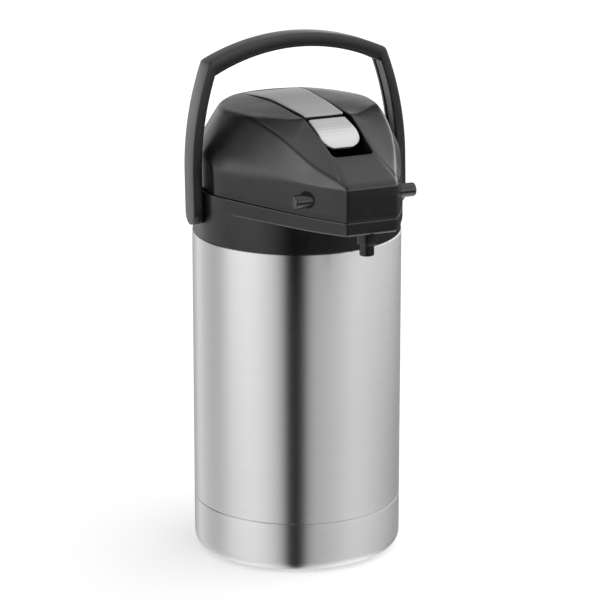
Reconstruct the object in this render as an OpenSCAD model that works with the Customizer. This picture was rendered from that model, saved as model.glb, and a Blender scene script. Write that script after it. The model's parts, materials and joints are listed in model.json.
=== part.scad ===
// Lever-action thermal coffee airpot with a steel body, a bail handle and a hinged pump lid.
// Origin: centre of the base on the table. +Z is up and the spout points towards -Y.

/* [Steel body] */
// Outside radius of the steel body
body_r = 82.5; // [76:0.5:90]
// Height of the steel body, from the table to the black collar
body_h = 260; // [230:1:300]
// Height of the separate base cup
base_h = 41; // [25:1:60]
// Thickness of the steel sheet
sheet_t = 0.9; // [0.6:0.1:1.4]
// Outside radius of the inner flask
flask_r = 72.8; // [68:0.2:73]

/* [Collar and spout] */
// Height of the collar, from the steel to the lid
collar_h = 39.2; // [37:0.2:42]
// Distance from the body axis to the front of the nose
nose_reach = 140; // [134:1:148]
// Half width of the nose's front face
nose_half_w = 20.8; // [18:0.2:22]
// Angle at which the flanks of the nose leave the round body
flank_angle = 24.6; // [22:0.2:27]
// Distance of the nozzle from the body axis
nozzle_reach = 131; // [129:0.5:133]

/* [Lid] */
// Height of the lid's upright band
band_h = 24.7; // [24:0.1:26]
// Radius of the crease around the top dome
dome_r = 61; // [58:0.5:63]
// Height of that crease above the lid's lower edge
dome_h = 59.2; // [58:0.2:61]
// Wall thickness of the black mouldings
wall = 2.5; // [2:0.1:2.6]

/* [Lever and pump] */
// Distance of the lever's hinge behind the body axis
lever_pivot_y = 54; // [52:0.5:54.5]
// Outside radius of the bellows
bellows_r = 44; // [38:0.5:46]

/* [Handle] */
// Height of the bar's top above the handle's pivots
bail_rise = 134.5; // [130:0.5:145]
// Thickness of the handle's strap
strap_t = 7.6; // [6:0.2:8]
// Depth of the handle's strap, front to back
strap_d = 19; // [14:0.5:19]
// How far the standing handle leans back, in degrees
bail_lean = 2.5; // [0:0.5:4]

/* [Hidden] */

eps = 0.01;
touch_gap = 0.05;            // between touching pieces of one body
run_gap = 0.06;              // radial clearance of a turning or sliding fit
collar_r = body_r - 0.5;
collar_top = body_h + collar_h;
lid_z = collar_top + 0.6;    // lower edge of the lid
band_z = lid_z + band_h;
dome_z = lid_z + dome_h;
liner_r = flask_r - 0.8;
neck_r = 33;                 // outside radius of the steel neck
neck_z = collar_top - 13.2;  // top of the steel neck
lip_z = neck_z + 0.8;        // top of the flask's lip
hinge_y = body_r + 5.5;      // lid hinge, just behind the body
hinge_z = lid_z + 0.2;
knuckle_r = 5.2;
bail_z = collar_top - 17.7;  // height of the handle's pivots
arm_x = body_r + 0.6;        // inner faces of the handle's arms
lever_z = dome_z - 7;        // height of the lever's hinge
pin_y = -108.5;              // release pins
pin_z = lid_z + 11.8;
pin_r = 5.3;
pipe_y = -18;                // dip tube and the start of the spout pipe
pipe_z = collar_top - 3.6;
port_y = 10;                 // air port between the pump and the flask
screw_r = 66;                // radius of the circle of lid screws
screws = [for (a = [45:90:315]) [screw_r * cos(a), screw_r * sin(a)]];

black = [0.10, 0.10, 0.11];
steel = [0.75, 0.76, 0.77];

// ---- shared shapes ----

function bezier(a, b, c, t) = (1 - t) * (1 - t) * a + 2 * t * (1 - t) * b + t * t * c;

// One side of the nose in plan: straight off the round body, then curving in to the front corner
function flank(inset) =
    let (r = collar_r - inset, along = [sin(flank_angle), -cos(flank_angle)],
        start = [-r * cos(flank_angle), -r * sin(flank_angle)],
        corner = [-(nose_half_w - 0.8 * inset), -(nose_reach - inset)],
        knee = start + 69 * along, guide = knee + 23 * along)
    concat([start], [for (i = [0:5]) bezier(knee, guide, corner, i / 5)]);

module plan(inset = 0) {
    side = flank(inset);
    circle(r = collar_r - inset, $fn = 96);
    polygon(concat(side, [for (i = [len(side) - 1:-1:0]) [-side[i][0], side[i][1]]]));
}

// Half of the ridge between the sloping bonnet and the sides, above the lid's lower edge
ridge = [[24.8, -125, 32.7], [30.6, -112, 40.1], [37.8, -98, 46.4], [43.6, -82.4, 51.6], [47.6, -62.2, 56.4]];
crown = [[0, -105, 43.9], [0, -80, 54], [0, -61, 60.2]];

// Outer form of the lid, or with an inset its inside; both are flat beside the handle's arms
module lid_form(inset = 0) {
    flat_x = collar_r - 3 - inset;
    intersection() {
        lid_body(inset);
        translate([-flat_x, -200, 0]) cube([2 * flat_x, 400, 500]);
    }
}

module lid_body(inset) {
    hull() {
        translate([0, 0, lid_z - (inset > 0 ? 1 : 0)])
            linear_extrude(band_h + (inset > 0 ? 0.5 : 0)) plan(inset);
        translate([0, 0, dome_z - 1.05 * inset]) cylinder(r = dome_r - inset, h = 0.4, $fn = 64);
        translate([0, 0, dome_z + 2.6 - inset]) cylinder(r = 36, h = 0.3, $fn = 32);
        translate([0, 0, dome_z + 3.7 - inset]) cylinder(r = 12, h = 0.3, $fn = 24);
        for (p = ridge, side = [-1, 1])
            translate([side * (p[0] - inset), p[1] + 0.8 * inset, lid_z + p[2] - 1.1 * inset])
                cube(0.2, center = true);
        for (p = crown)
            translate([0, p[1] + 0.3 * inset, lid_z + p[2] - 1.1 * inset]) cube(0.2, center = true);
    }
}

// Plan of the slot for the lever, wide at the back and narrow over the finger well
module slot_plan(grow = 0) {
    half = [[26.6, 58.4], [24.4, 30], [21, 7], [19.6, -23], [18.3, -60], [17, -86], [17, -101], [15.5, -105], [12, -106.6]];
    polygon(concat([for (p = half) [p[0] + grow, p[1] - (p[1] < -90 ? grow : 0)]],
        [for (i = [len(half) - 1:-1:0]) [-half[i][0] - grow, half[i][1] - (half[i][1] < -90 ? grow : 0)]]));
}

// A plate whose side view (Y, Z) is a polygon, of the given width across X
module side_plate(points, width) {
    translate([-width / 2, 0, 0]) rotate([90, 0, 90]) linear_extrude(width) polygon(points);
}

module bar_x(y, z, r, x0, x1) {
    translate([x0, y, z]) rotate([0, 90, 0]) cylinder(r = r, h = x1 - x0, $fn = 48);
}

// Round wire wound into a helix along +Z
module coil(r, wire, height, turns) {
    steps = 14;
    ring = 6;
    n = steps * turns;
    points = [for (i = [0:n], j = [0:ring - 1])
        let (a = 360 * i / steps, b = 360 * j / ring, w = r + wire * cos(b))
        [w * cos(a), w * sin(a), wire + (height - 2 * wire) * i / n + wire * sin(b)]];
    sides = [for (i = [0:n - 1], j = [0:ring - 1])
        let (k = (j + 1) % ring)
        [i * ring + j, (i + 1) * ring + j, (i + 1) * ring + k, i * ring + k]];
    polyhedron(points, concat([[for (j = [0:ring - 1]) j]], sides,
        [[for (j = [ring - 1:-1:0]) n * ring + j]]), convexity = 10);
}

// ---- steel body ----

module foot_pad() {
    color([0.08, 0.08, 0.08]) {
        cylinder(r = 65, h = 2.5, $fn = 96);
    }
}

// Closed outline of the base cup, to be spun; inset gives its inside
module cup_outline(inset) {
    bend = 9 - inset;
    bottom = 1.2 + inset;
    square([body_r - inset - bend, base_h]);
    translate([0, bottom + bend]) square([body_r - inset, base_h - bottom - bend + (inset > 0 ? 1 : 0)]);
    translate([body_r - inset - bend, bottom + bend]) circle(r = bend, $fn = 48);
}

module base_cup() {
    pad_r = 65.4;
    lip_r = body_r - 2 * sheet_t;
    color(steel) rotate_extrude($fn = 96) {
        difference() {
            intersection() {
                cup_outline(0);
                translate([0, 1.2]) square([body_r, base_h]);
            }
            intersection() {
                cup_outline(sheet_t);
                translate([0, 1.2 + sheet_t]) square([body_r, base_h]);
            }
            square([pad_r, 5]);
        }
        // raised floor over the foot pad, and its step down to the rim
        translate([0, 2.6]) square([pad_r + sheet_t, sheet_t]);
        translate([pad_r, 1.2]) square([sheet_t, 1.4 + sheet_t]);
        // joggled lip that the outer shell is welded on
        translate([lip_r, base_h - 5]) square([sheet_t - touch_gap, 10]);
        translate([lip_r, base_h - 5]) square([sheet_t + 0.1, 5]);
    }
}

module outer_shell() {
    r = body_r;
    t = sheet_t;
    color(steel) rotate_extrude($fn = 96) polygon([
        [r - t, base_h + 0.3], [r, base_h + 0.3], [r, body_h - 0.7], [r - 0.7, body_h], [r - 5, body_h],
        [neck_r + 5, neck_z - 6], [neck_r, neck_z - 3], [neck_r, neck_z],
        [neck_r - t, neck_z], [neck_r - t, neck_z - 3.5], [neck_r + 4.4, neck_z - 6.9],
        [r - 5.3, body_h - t], [r - t, body_h - t]]);
}

module inner_flask() {
    t = 0.8;
    r = flask_r;
    throat = neck_r - sheet_t - touch_gap;
    floor_z = 19;
    color([0.70, 0.71, 0.72]) rotate_extrude($fn = 96) polygon([
        [0, floor_z], [r - 9, floor_z], [r - 2.5, floor_z + 2.5], [r, floor_z + 9], [r, neck_z - 56],
        [throat, neck_z - 18], [throat, neck_z], [neck_r + 1.2, neck_z], [neck_r + 1.2, lip_z],
        [throat - t, lip_z], [throat - t, neck_z - 18.4], [r - t, neck_z - 56.4],
        [r - t, floor_z + 9.2], [r - 3, floor_z + 3.2], [r - 9.2, floor_z + t], [0, floor_z + t]]);
}

// ---- collar, stem and spout ----

// Everything above the nose's underside, which rises gently towards the front
module above_nose_floor(lift = 0) {
    translate([0, -43, collar_top - 12.8 + lift]) rotate([-1.5, 0, 0])
        translate([-body_r, -110, 0]) cube([2 * body_r, 112, 60]);
}

module collar() {
    inner_r = collar_r - wall;
    color(black) difference() {
        union() {
            // round skirt
            difference() {
                translate([0, 0, body_h + 0.2]) cylinder(r = collar_r, h = collar_h - 0.2, $fn = 96);
                translate([0, 0, body_h - 1]) cylinder(r = inner_r, h = collar_h + 2, $fn = 96);
            }
            // nose: a channel, open at the top, that carries the spout pipe
            intersection() {
                difference() {
                    translate([0, 0, body_h + 20]) linear_extrude(collar_h - 20) plan();
                    translate([0, 0, body_h]) cylinder(r = inner_r + 1, h = 60, $fn = 96);
                    intersection() {
                        translate([0, 0, body_h + 20]) linear_extrude(40) plan(wall);
                        above_nose_floor(wall);
                    }
                }
                above_nose_floor();
            }
            // catch basin around the neck
            rotate_extrude($fn = 96) polygon([[inner_r + 1, body_h + 6.5], [inner_r + 1, body_h + 9.5],
                [neck_r + 4.4, neck_z - 2], [neck_r + 1.6, neck_z - 2], [neck_r + 1.6, neck_z - 3.2],
                [neck_r + 4.4, neck_z - 4.4], [inner_r - 2, body_h + 5.6]]);
            // bearings for the handle's pins
            for (side = [-1, 1]) rotate([0, 0, side < 0 ? 180 : 0])
                bar_x(0, bail_z, 8.5, collar_r - 12, body_r - 0.1);
            // two outer hinge knuckles
            for (side = [-1, 1]) {
                bar_x(hinge_y, hinge_z, knuckle_r, side * 23 - 9, side * 23 + 9);
                translate([side * 23 - 9, collar_r - 8, collar_top - 11]) cube([18, hinge_y - collar_r + 8, 10.5]);
            }
            // ledges that the lid's latch hooks catch on
            intersection() {
                for (side = [-1, 1])
                    translate([side * 36.4 - 8, pin_y - 5, collar_top - 3.6]) cube([16, 10, 2.4]);
                linear_extrude(collar_top) plan(0.5);
            }
        }
        for (side = [-1, 1]) rotate([0, 0, side < 0 ? 180 : 0])
            bar_x(0, bail_z, 3.5 + run_gap, collar_r - 14, body_r + 1);
        bar_x(hinge_y, hinge_z, 2.02, -33, 33);
        // room for the lid's middle knuckle
        bar_x(hinge_y, hinge_z, knuckle_r + 0.6, -13.8, 13.8);
        // doorway from the body into the nose channel
        translate([-17, -inner_r - 4, pipe_z - 5.5]) cube([34, 20, 12]);
        // hole for the spout pipe and the nozzle's spigot
        translate([0, -nozzle_reach, body_h]) cylinder(r = 6.6, h = 50, $fn = 48);
    }
}

module stem_gasket() {
    color([0.85, 0.85, 0.82]) difference() {
        translate([0, 0, lip_z]) cylinder(r = neck_r + 2.6, h = 1.2, $fn = 64);
        translate([0, 0, lip_z - 1]) cylinder(r = neck_r - 2, h = 4, $fn = 64);
    }
}

module stem_head() {
    plug_r = neck_r - 2.2;
    flange_z = lip_z + 1.2;
    color([0.16, 0.16, 0.17]) difference() {
        union() {
            translate([0, 0, flange_z]) cylinder(r = neck_r + 2.6, h = 2.5, $fn = 64);
            translate([0, 0, lip_z - 9]) cylinder(r = plug_r, h = 10.2 + eps, $fn = 64);
            translate([0, pipe_y, flange_z]) cylinder(r = 7.5, h = pipe_z - flange_z + 3.6, $fn = 48);
        }
        // socket of the dip tube, the turn into the spout pipe and the air port
        translate([0, pipe_y, lip_z - 10]) cylinder(r = 5.02, h = 10, $fn = 48);
        translate([0, pipe_y, lip_z - 1]) cylinder(r = 3, h = pipe_z - lip_z + 1, $fn = 48);
        translate([0, pipe_y, pipe_z]) rotate([90, 0, 0]) cylinder(r = 3, h = 5, $fn = 48);
        translate([0, pipe_y - 4.5, pipe_z]) rotate([90, 0, 0]) cylinder(r = 4.02, h = 5, $fn = 48);
        translate([0, port_y, lip_z - 10]) cylinder(r = 4, h = 20, $fn = 48);
        translate([0, port_y, lip_z - 9.5]) cylinder(r = 8.05, h = 5, $fn = 48);
    }
}

module dip_tube() {
    foot_z = 26;
    color([0.88, 0.88, 0.86]) difference() {
        translate([0, pipe_y, foot_z]) cylinder(r = 5, h = lip_z - 1 - foot_z, $fn = 48);
        translate([0, pipe_y, foot_z - 1]) cylinder(r = 3.6, h = 300, $fn = 48);
    }
}

module spout_pipe() {
    color([0.20, 0.20, 0.21]) difference() {
        union() {
            translate([0, pipe_y - 4.5, pipe_z]) rotate([90, 0, 0])
                cylinder(r = 4, h = nozzle_reach + pipe_y - 4.5, $fn = 48);
            translate([0, -nozzle_reach, collar_top - 15]) cylinder(r = 4, h = 11, $fn = 48);
            translate([0, -nozzle_reach, pipe_z]) sphere(r = 4, $fn = 48);
        }
        translate([0, pipe_y, pipe_z]) rotate([90, 0, 0])
            cylinder(r = 2.7, h = nozzle_reach + pipe_y, $fn = 48);
        translate([0, -nozzle_reach, body_h]) cylinder(r = 2.7, h = pipe_z - body_h, $fn = 48);
    }
}

module nozzle_cone() {
    color(black) difference() {
        union() {
            difference() {
                translate([0, -nozzle_reach, collar_top - 19]) cylinder(r1 = 8, r2 = 8.8, h = 10, $fn = 64);
                above_nose_floor(-touch_gap);
            }
            translate([0, -nozzle_reach, collar_top - 19]) cylinder(r = 6.5, h = 11, $fn = 48);
        }
        translate([0, -nozzle_reach, body_h]) cylinder(r = 5.65, h = collar_top - 15.2 - body_h, $fn = 48);
        translate([0, -nozzle_reach, body_h]) cylinder(r = 4.05, h = 60, $fn = 48);
    }
}

module nozzle_tube() {
    color([0.14, 0.14, 0.15]) difference() {
        translate([0, -nozzle_reach, collar_top - 28.2]) cylinder(r = 5.6, h = 12.9, $fn = 48);
        translate([0, -nozzle_reach, collar_top - 30]) cylinder(r = 3.6, h = 20, $fn = 48);
    }
}

module tip_valve_cage() {
    top = lip_z - 4.6;
    color([0.80, 0.80, 0.78]) difference() {
        translate([0, port_y, top - 22]) cylinder(r = 8, h = 22, $fn = 48);
        translate([0, port_y, top - 20]) cylinder(r = 6.2, h = 21, $fn = 48);
        translate([0, port_y, top - 23]) cylinder(r = 3, h = 4, $fn = 48);
        for (a = [0, 90]) translate([0, port_y, top - 9]) rotate([0, 0, a])
            cube([4, 30, 8], center = true);
    }
}

module tip_valve_ball() {
    color(steel) translate([0, port_y, lip_z - 19.4]) sphere(r = 5, $fn = 48);
}

module lid_hinge_pin() {
    color(steel) bar_x(hinge_y, hinge_z, 2, -32, 32);
}

// ---- handle ----

// Area inside the handle's outer edge seen from the front, or moved in by inset
module bail_area(inset) {
    arm_r = 241.6;
    straight = 30.5;          // upright part of the arms above the pivots
    reach = arm_x + strap_t;
    bar_r = 170;
    translate([-(reach - inset), 0]) square([2 * (reach - inset), straight + eps]);
    intersection() {
        translate([reach - arm_r, straight]) circle(r = arm_r - inset, $fn = 180);
        translate([arm_r - reach, straight]) circle(r = arm_r - inset, $fn = 180);
        translate([0, bail_rise - bar_r]) circle(r = bar_r - inset * 1.15, $fn = 180);
        translate([-100, straight]) square([200, 200]);
    }
}

module in_handle_frame() {
    translate([0, 0, bail_z]) rotate([-bail_lean, 0, 0]) children();
}

module bail_slab(inset, depth) {
    translate([0, depth / 2, 0]) rotate([90, 0, 0]) linear_extrude(depth) bail_area(inset);
}

module handle_bail() {
    color(black) in_handle_frame() difference() {
        union() {
            difference() {
                bail_slab(0, strap_d);
                bail_slab(strap_t, strap_d + 2);
            }
            for (side = [-1, 1])
                bar_x(0, 0, strap_d / 2, side * (arm_x + strap_t / 2) - strap_t / 2,
                    side * (arm_x + strap_t / 2) + strap_t / 2);
        }
        for (side = [-1, 1])
            bar_x(0, 0, 4.02, side * (arm_x + 2) - 2.5, side * (arm_x + 2) + 2.5);
    }
}

// Rib along the underside of the bar, where the hand lifts
module handle_grip() {
    rib = strap_t + touch_gap;
    color([0.13, 0.13, 0.14]) in_handle_frame() difference() {
        intersection() {
            bail_slab(rib, strap_d - 1.6);
            translate([-80, -20, bail_rise - 27]) cube([160, 40, 40]);
        }
        bail_slab(rib + 2.6, strap_d);
    }
}

module handle_pin(side) {
    color(steel) in_handle_frame() rotate([0, 0, side < 0 ? 180 : 0]) {
        bar_x(0, 0, 3.5, collar_r - 11, arm_x - 0.3);
        bar_x(0, 0, 4, arm_x - 0.3, arm_x + 4.4);
    }
}

// ---- lid ----

module lid_shell() {
    lug_x = 22.4;
    color(black) difference() {
        intersection() {
            union() {
                difference() {
                    lid_form();
                    lid_form(wall);
                }
                // screw posts
                for (p = screws) translate([p[0], p[1], lid_z + 3.6]) cylinder(r = 4, h = 50, $fn = 32);
                // guides of the release pins and the seat of their springs
                for (side = [-1, 1])
                    bar_x(pin_y, pin_z, pin_r + 2.2, side * 39 - 12, side * 39 + 12);
                translate([-9, -nose_reach, pin_z - 6]) cube([18, nose_reach + pin_y + 5, 12]);
            }
            lid_form();
        }
        // slot for the lever, wider where the finger well lines it
        translate([0, 0, lid_z + 20]) linear_extrude(60) slot_plan();
        intersection() {
            translate([0, 0, lid_z + 20]) linear_extrude(60) slot_plan(1.4);
            translate([-40, -120, 0]) cube([80, 63.5, 500]);
        }
        // pin bores
        bar_x(pin_y, pin_z, pin_r + run_gap, -70, -26.9);
        bar_x(pin_y, pin_z, pin_r + run_gap, 26.9, 70);
        for (p = screws) translate([p[0], p[1], lid_z]) cylinder(r = 1.6, h = 16, $fn = 32);
    }
    // lugs under the lever that hold its pin
    color(black) difference() {
        intersection() {
            for (side = [-1, 1]) {
                bar_x(lever_pivot_y, lever_z, 4, side * lug_x - 2, side * lug_x + 2);
                translate([side * lug_x - 2, lever_pivot_y, lever_z - 4]) cube([4, 12, 7]);
            }
            lid_form();
        }
        bar_x(lever_pivot_y, lever_z, 2.02, -31, 31);
    }
    color(black) difference() {
        union() {
            bar_x(hinge_y, hinge_z, knuckle_r, -13.4, 13.4);
            translate([-13.4, collar_r - 2, lid_z + 0.4]) cube([26.8, hinge_y - collar_r + 2, 12]);
        }
        bar_x(hinge_y, hinge_z, 2 + run_gap, -20, 20);
        translate([0, 0, lid_z - 10]) cylinder(r = collar_r - 1, h = 40, $fn = 96);
    }
}

module lid_base() {
    color([0.14, 0.14, 0.15]) difference() {
        translate([0, 0, lid_z + 0.4]) cylinder(r = collar_r - wall - 1.2, h = 3, $fn = 96);
        translate([0, port_y, lid_z - 1]) cylinder(r = 7, h = 6, $fn = 48);
        for (p = screws) translate([p[0], p[1], lid_z - 1]) cylinder(r = 1.8, h = 6, $fn = 32);
        for (side = [-1, 1]) translate([side * (collar_r + 2) - 8, -40, lid_z - 1]) cube([16, 80, 6]);
    }
}

module lid_screws() {
    color(steel) for (p = screws) translate([p[0], p[1], lid_z - 0.6]) {
        cylinder(r = 3.2, h = 1, $fn = 32);
        cylinder(r = 1.55, h = 15, $fn = 32);
    }
}

module air_seal() {
    color([0.85, 0.85, 0.82]) difference() {
        translate([0, port_y, lip_z + 4]) cylinder(r = 11, h = lid_z + 0.4 - lip_z - 4, $fn = 48);
        translate([0, port_y, lip_z]) cylinder(r = 8, h = 30, $fn = 48);
    }
}

module outlet_flap() {
    color([0.80, 0.30, 0.20]) translate([0, port_y, lid_z + 3.45]) cylinder(r = 9, h = 0.8, $fn = 48);
}

module bellows() {
    low = lid_z + 3.45;
    high = lid_z + 40;
    folds = 6;
    pitch = (high - low) / folds;
    skin = 1;
    depth = 9;
    outer = concat([for (i = [0:folds - 1]) each [[bellows_r - depth, low + i * pitch],
        [bellows_r, low + (i + 0.5) * pitch]]], [[bellows_r - depth, high]]);
    color([0.12, 0.12, 0.12]) rotate_extrude($fn = 72)
        polygon(concat(outer, [for (i = [len(outer) - 1:-1:0]) [outer[i][0] - skin, outer[i][1]]]));
}

module return_spring() {
    color(steel) translate([0, 0, lid_z + 3.45]) coil(22, 0.9, 36.6, 5);
}

// Black well that the lever's tip is pressed into: its front slopes away, its back is low
module finger_well() {
    top = lid_z + 62;
    floor_z = lid_z + 4.6;
    inside = [[-58, top], [-58, floor_z + 1.5], [-89, floor_z + 1.5], [-106.6, lid_z + 40], [-106.6, top]];
    outside = [[-56.5, lid_z + 24], [-56.5, floor_z], [-90, floor_z], [-108, lid_z + 39.5], [-108, top], [-58, top]];
    color([0.03, 0.03, 0.03]) difference() {
        intersection() {
            translate([0, 0, lid_z]) linear_extrude(70) slot_plan(1.3);
            side_plate(outside, 60);
            lid_form(0.3);
        }
        intersection() {
            translate([0, 0, lid_z]) linear_extrude(70) slot_plan(0);
            side_plate(inside, 60);
        }
        translate([-30, -59, lid_z + 24]) cube([60, 4, 60]);
    }
}

module lever_pin() {
    color(steel) bar_x(lever_pivot_y, lever_z, 2, -24.2, 24.2);
}

module latch_spring(side) {
    color(steel) translate([side * 9.1, pin_y, pin_z]) rotate([0, side * 90, 0]) coil(3.2, 0.5, 14.8, 6);
}

// ---- lever ----

module lever_arm() {
    underside = lever_z + 4.6;
    profile = [[57.4, lid_z + 59.8], [30, lid_z + 63.4], [0, lid_z + 64.9], [-30, lid_z + 64.2], [-58, lid_z + 62],
        [-58.6, lid_z + 61.4], [-59.4, lid_z + 56.4], [-30, lid_z + 57.4], [10, underside], [57.4, underside]];
    half = [[24.6, 57.4], [22.4, 30], [19, 7], [17.7, -23], [16.3, -60]];
    color([0.45, 0.45, 0.46]) {
        intersection() {
            side_plate(profile, 60);
            translate([0, 0, lid_z]) linear_extrude(80)
                polygon(concat(half, [for (i = [len(half) - 1:-1:0]) [-half[i][0], half[i][1]]]));
        }
        // hinge lugs
        for (side = [-1, 1]) difference() {
            union() {
                bar_x(lever_pivot_y, lever_z, 4.4, side * 17 - 2.5, side * 17 + 2.5);
                translate([side * 17 - 2.5, lever_pivot_y - 4.4, lever_z]) cube([5, 7.4, 5]);
            }
            bar_x(lever_pivot_y, lever_z, 2 + run_gap, side * 17 - 3, side * 17 + 3);
        }
        // rounded rib that pushes the pump plate
        bar_x(0, lever_z + 2, 4, -7, 7);
        translate([-7, -3, lever_z + 2]) cube([14, 6, 4]);
    }
}

module lever_tip() {
    profile = [[-59.8, 60.6], [-70, 58], [-80, 54.6], [-86, 50], [-89.6, 44.6], [-88.6, 43], [-85.6, 44],
        [-82.6, 48.6], [-78, 51.4], [-69, 54], [-64, 53.6], [-44, 53.9], [-44, 56.8], [-59.8, 56.3]];
    half = [[15.4, -40], [15.4, -60], [16.2, -72], [15.4, -84], [11.6, -90]];
    color([0.85, 0.85, 0.86]) intersection() {
        translate([0, 0, lid_z]) side_plate(profile, 60);
        translate([0, 0, lid_z]) linear_extrude(80)
            polygon(concat(half, [for (i = [len(half) - 1:-1:0]) [-half[i][0], half[i][1]]]));
    }
}

// ---- pump ----

module pump_plate() {
    color([0.22, 0.22, 0.23]) difference() {
        union() {
            translate([0, 0, lid_z + 40.1]) cylinder(r = bellows_r - 8, h = 3, $fn = 72);
            translate([0, 0, lid_z + 40.1]) cylinder(r = 8, h = lever_z - 2.3 - lid_z - 40.1, $fn = 48);
        }
        for (a = [0:60:300]) rotate([0, 0, a]) translate([16, 0, lid_z + 36]) cylinder(r = 2.2, h = 12, $fn = 24);
    }
}

module inlet_flap() {
    color([0.80, 0.30, 0.20]) difference() {
        translate([0, 0, lid_z + 39.2]) cylinder(r = 19.4, h = 0.85, $fn = 48);
        translate([0, 0, lid_z + 38]) cylinder(r = 4, h = 3, $fn = 32);
    }
}

// ---- lid latch ----

module release_pin(side) {
    color([0.12, 0.12, 0.12]) rotate([0, 0, side < 0 ? 180 : 0])
        translate([0, side < 0 ? -pin_y : pin_y, 0]) {
            bar_x(0, pin_z, pin_r, 26.6, 48.6);
            translate([48.6, 0, pin_z]) rotate([0, 90, 0]) cylinder(r1 = pin_r, r2 = pin_r - 1.2, h = 1.2, $fn = 48);
        }
}

module latch_hook(side) {
    color([0.20, 0.20, 0.21]) mirror([side < 0 ? 1 : 0, 0, 0]) {
        translate([24, pin_y - 3.5, collar_top - 7.5]) cube([2.5, 7, pin_z + 4.5 - collar_top + 7.5]);
        translate([26.4, pin_y - 3.5, collar_top - 7.5]) cube([1.5, 7, 2.6]);
    }
}

foot_pad();
base_cup();
outer_shell();
inner_flask();
collar();
stem_gasket();
stem_head();
dip_tube();
spout_pipe();
nozzle_cone();
nozzle_tube();
tip_valve_cage();
tip_valve_ball();
lid_hinge_pin();
handle_bail();
handle_grip();
handle_pin(-1);  // handle_pin_left
handle_pin(1);  // handle_pin_right
lid_shell();
lid_base();
lid_screws();
air_seal();
outlet_flap();
bellows();
return_spring();
finger_well();
lever_pin();
latch_spring(-1);  // latch_spring_left
latch_spring(1);  // latch_spring_right
lever_arm();
lever_tip();
pump_plate();
inlet_flap();
release_pin(-1);  // release_pin_left
release_pin(1);  // release_pin_right
latch_hook(-1);  // latch_hook_left
latch_hook(1);  // latch_hook_right
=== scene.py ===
"""Looks of the lever-action thermal airpot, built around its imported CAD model.

Working units are millimetres in the CAD's frame: +Z is up and the spout points towards -Y.
"""

import json
import math

import bmesh
import bpy
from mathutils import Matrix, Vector


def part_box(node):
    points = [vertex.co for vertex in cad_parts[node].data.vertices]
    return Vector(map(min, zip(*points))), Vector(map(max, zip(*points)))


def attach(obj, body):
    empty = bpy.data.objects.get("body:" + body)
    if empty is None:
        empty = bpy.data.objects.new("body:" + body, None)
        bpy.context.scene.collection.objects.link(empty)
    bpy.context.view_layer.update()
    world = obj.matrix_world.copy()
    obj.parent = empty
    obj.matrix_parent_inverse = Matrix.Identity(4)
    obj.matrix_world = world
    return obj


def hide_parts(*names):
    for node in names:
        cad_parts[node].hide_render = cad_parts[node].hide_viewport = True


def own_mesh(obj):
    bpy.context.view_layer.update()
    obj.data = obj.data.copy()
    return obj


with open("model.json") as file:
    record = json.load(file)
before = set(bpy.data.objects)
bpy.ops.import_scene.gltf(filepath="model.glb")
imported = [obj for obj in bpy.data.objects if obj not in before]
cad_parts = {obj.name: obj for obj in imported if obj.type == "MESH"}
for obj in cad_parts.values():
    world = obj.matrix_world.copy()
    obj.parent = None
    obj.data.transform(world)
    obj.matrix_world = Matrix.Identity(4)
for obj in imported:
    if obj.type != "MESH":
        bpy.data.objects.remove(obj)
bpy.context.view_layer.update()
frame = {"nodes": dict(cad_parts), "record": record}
MM = 0.001


def cad_box(node):
    """Lowest and highest corner of a CAD node, in millimetres."""
    low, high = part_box(node)
    return Vector(low) / MM, Vector(high) / MM


# ---- driving dimensions, from the CAD ----

cup_low = cad_box("base_cup")[0]
shell_low, shell_high = cad_box("outer_shell")
collar_low = cad_box("collar")[0]
lid_high = cad_box("lid_shell")[1]
bail_high = cad_box("handle_bail")[1]
cone_low = cad_box("nozzle_cone")[0]
tube_low, tube_high = cad_box("nozzle_tube")
pin_low, pin_high = cad_box("release_pin_right")

BODY_R = shell_high.x                    # steel body
SEAM_Z = shell_low.z                     # joint between the base cup and the shell
BODY_TOP = collar_low.z - 0.2
COLLAR_R = BODY_R - 0.5
LID_Z = cad_box("lid_base")[0].z - 0.4   # lower edge of the lid
COLLAR_TOP = LID_Z - 0.6
NECK_R = 33                              # neck of the flask
NECK_Z = COLLAR_TOP - 13.2
NOSE_Y = collar_low.y                    # front of the nose
NOSE_HALF = 20.8                         # half width of its flat front
FLANK_ANGLE = math.radians(24.6)         # turn of the flanks towards the nose
LID_FLAT_X = lid_high.x                  # flats beside the handle's arms
BAND_HEIGHT = 24.7                       # height of the upright band round the lid
DOME_R = 61.0                            # foot of the dome, at the top of the sides
NOZZLE_Y = (tube_low.y + tube_high.y) / 2
PIVOT_Z = (cad_box("handle_pin_right")[0].z + cad_box("handle_pin_right")[1].z) / 2


# ---- small geometry helpers ----


def lerp(a, b, t):
    return a + (b - a) * t


def bezier(a, b, c, t):
    return a * (1 - t) ** 2 + b * 2 * t * (1 - t) + c * t**2


def smooth_step(low, high, value):
    t = min(1.0, max(0.0, (value - low) / (high - low)))
    return t * t * (3 - 2 * t)


def spline(knots, x):
    """Smooth curve through (x, value) knots in rising x, flat beyond its ends."""
    if x <= knots[0][0]:
        return knots[0][1]
    if x >= knots[-1][0]:
        return knots[-1][1]
    i = max(k for k in range(len(knots) - 1) if knots[k][0] <= x)
    (x0, y0), (x1, y1) = knots[i], knots[i + 1]

    def slope(k):
        a, b = knots[max(k - 1, 0)], knots[min(k + 1, len(knots) - 1)]
        return (b[1] - a[1]) / (b[0] - a[0])

    w, t = x1 - x0, (x - x0) / (x1 - x0)
    return (
        y0 * (2 * t**3 - 3 * t**2 + 1)
        + slope(i) * w * (t**3 - 2 * t**2 + t)
        + y1 * (3 * t**2 - 2 * t**3)
        + slope(i + 1) * w * (t**3 - t**2)
    )


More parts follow.
